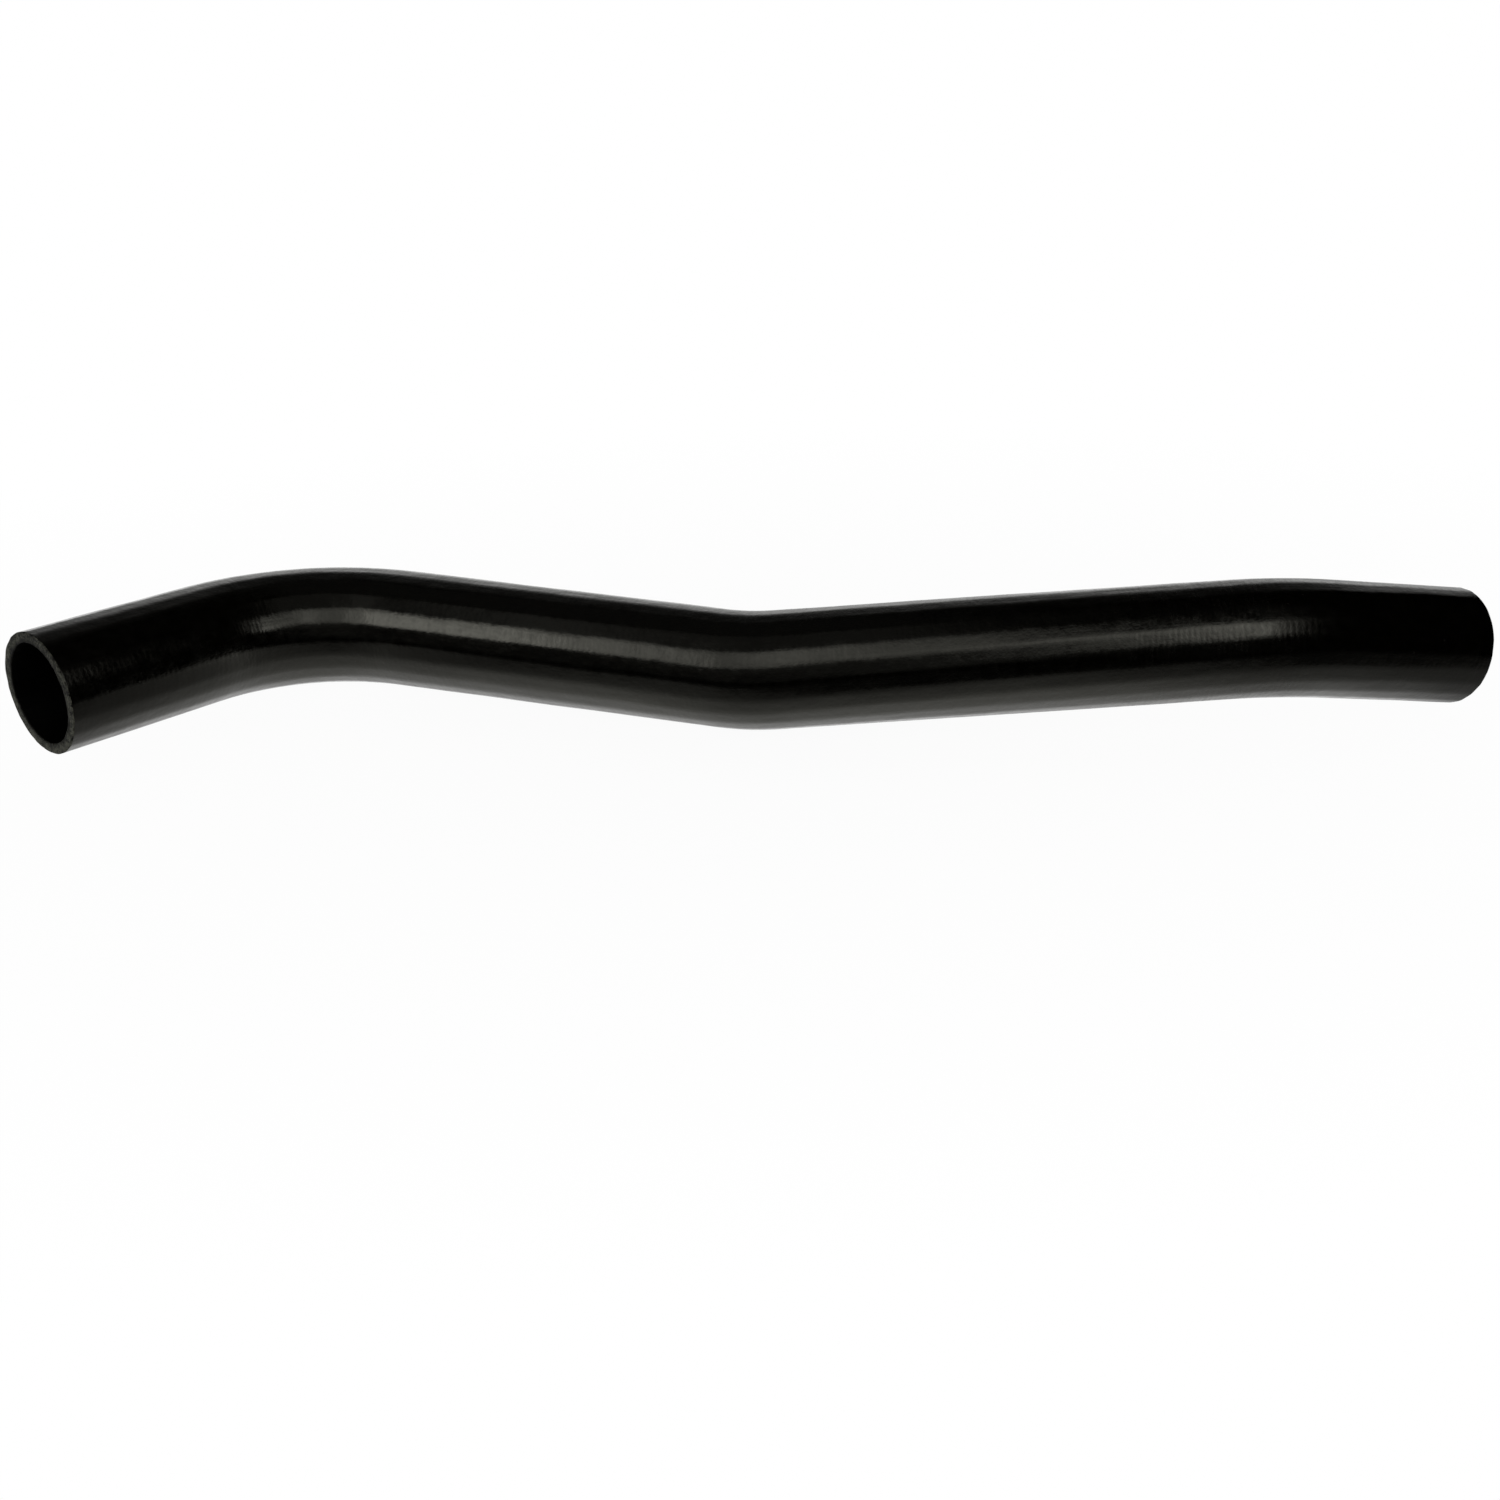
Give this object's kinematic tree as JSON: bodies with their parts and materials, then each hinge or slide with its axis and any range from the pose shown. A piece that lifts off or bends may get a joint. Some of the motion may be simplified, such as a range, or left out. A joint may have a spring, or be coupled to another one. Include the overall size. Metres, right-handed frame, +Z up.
{
  "type": "fuel filler hose",
  "caption": "Moulded black rubber fuel filler hose: a smooth round tube with a wide bend near its mouth end and gentle bends further along, open and cut square at its ends.",
  "frame": {"origin": "middle of the bounding box's bottom, on the surface that the hose lies on", "axes": "+X from the mouth end to the tail end, +Z up as the hose comes to rest, the mouth end opening towards -X and -Y"},
  "size_m": [0.7582, 0.1618, 0.0789],
  "materials": {
    "rubber": "satin moulded rubber with faint wrap marks, dull where it is cut"
  },
  "bodies": {
    "root": {"filler_hose": "rubber"}
  },
  "joints": []
}
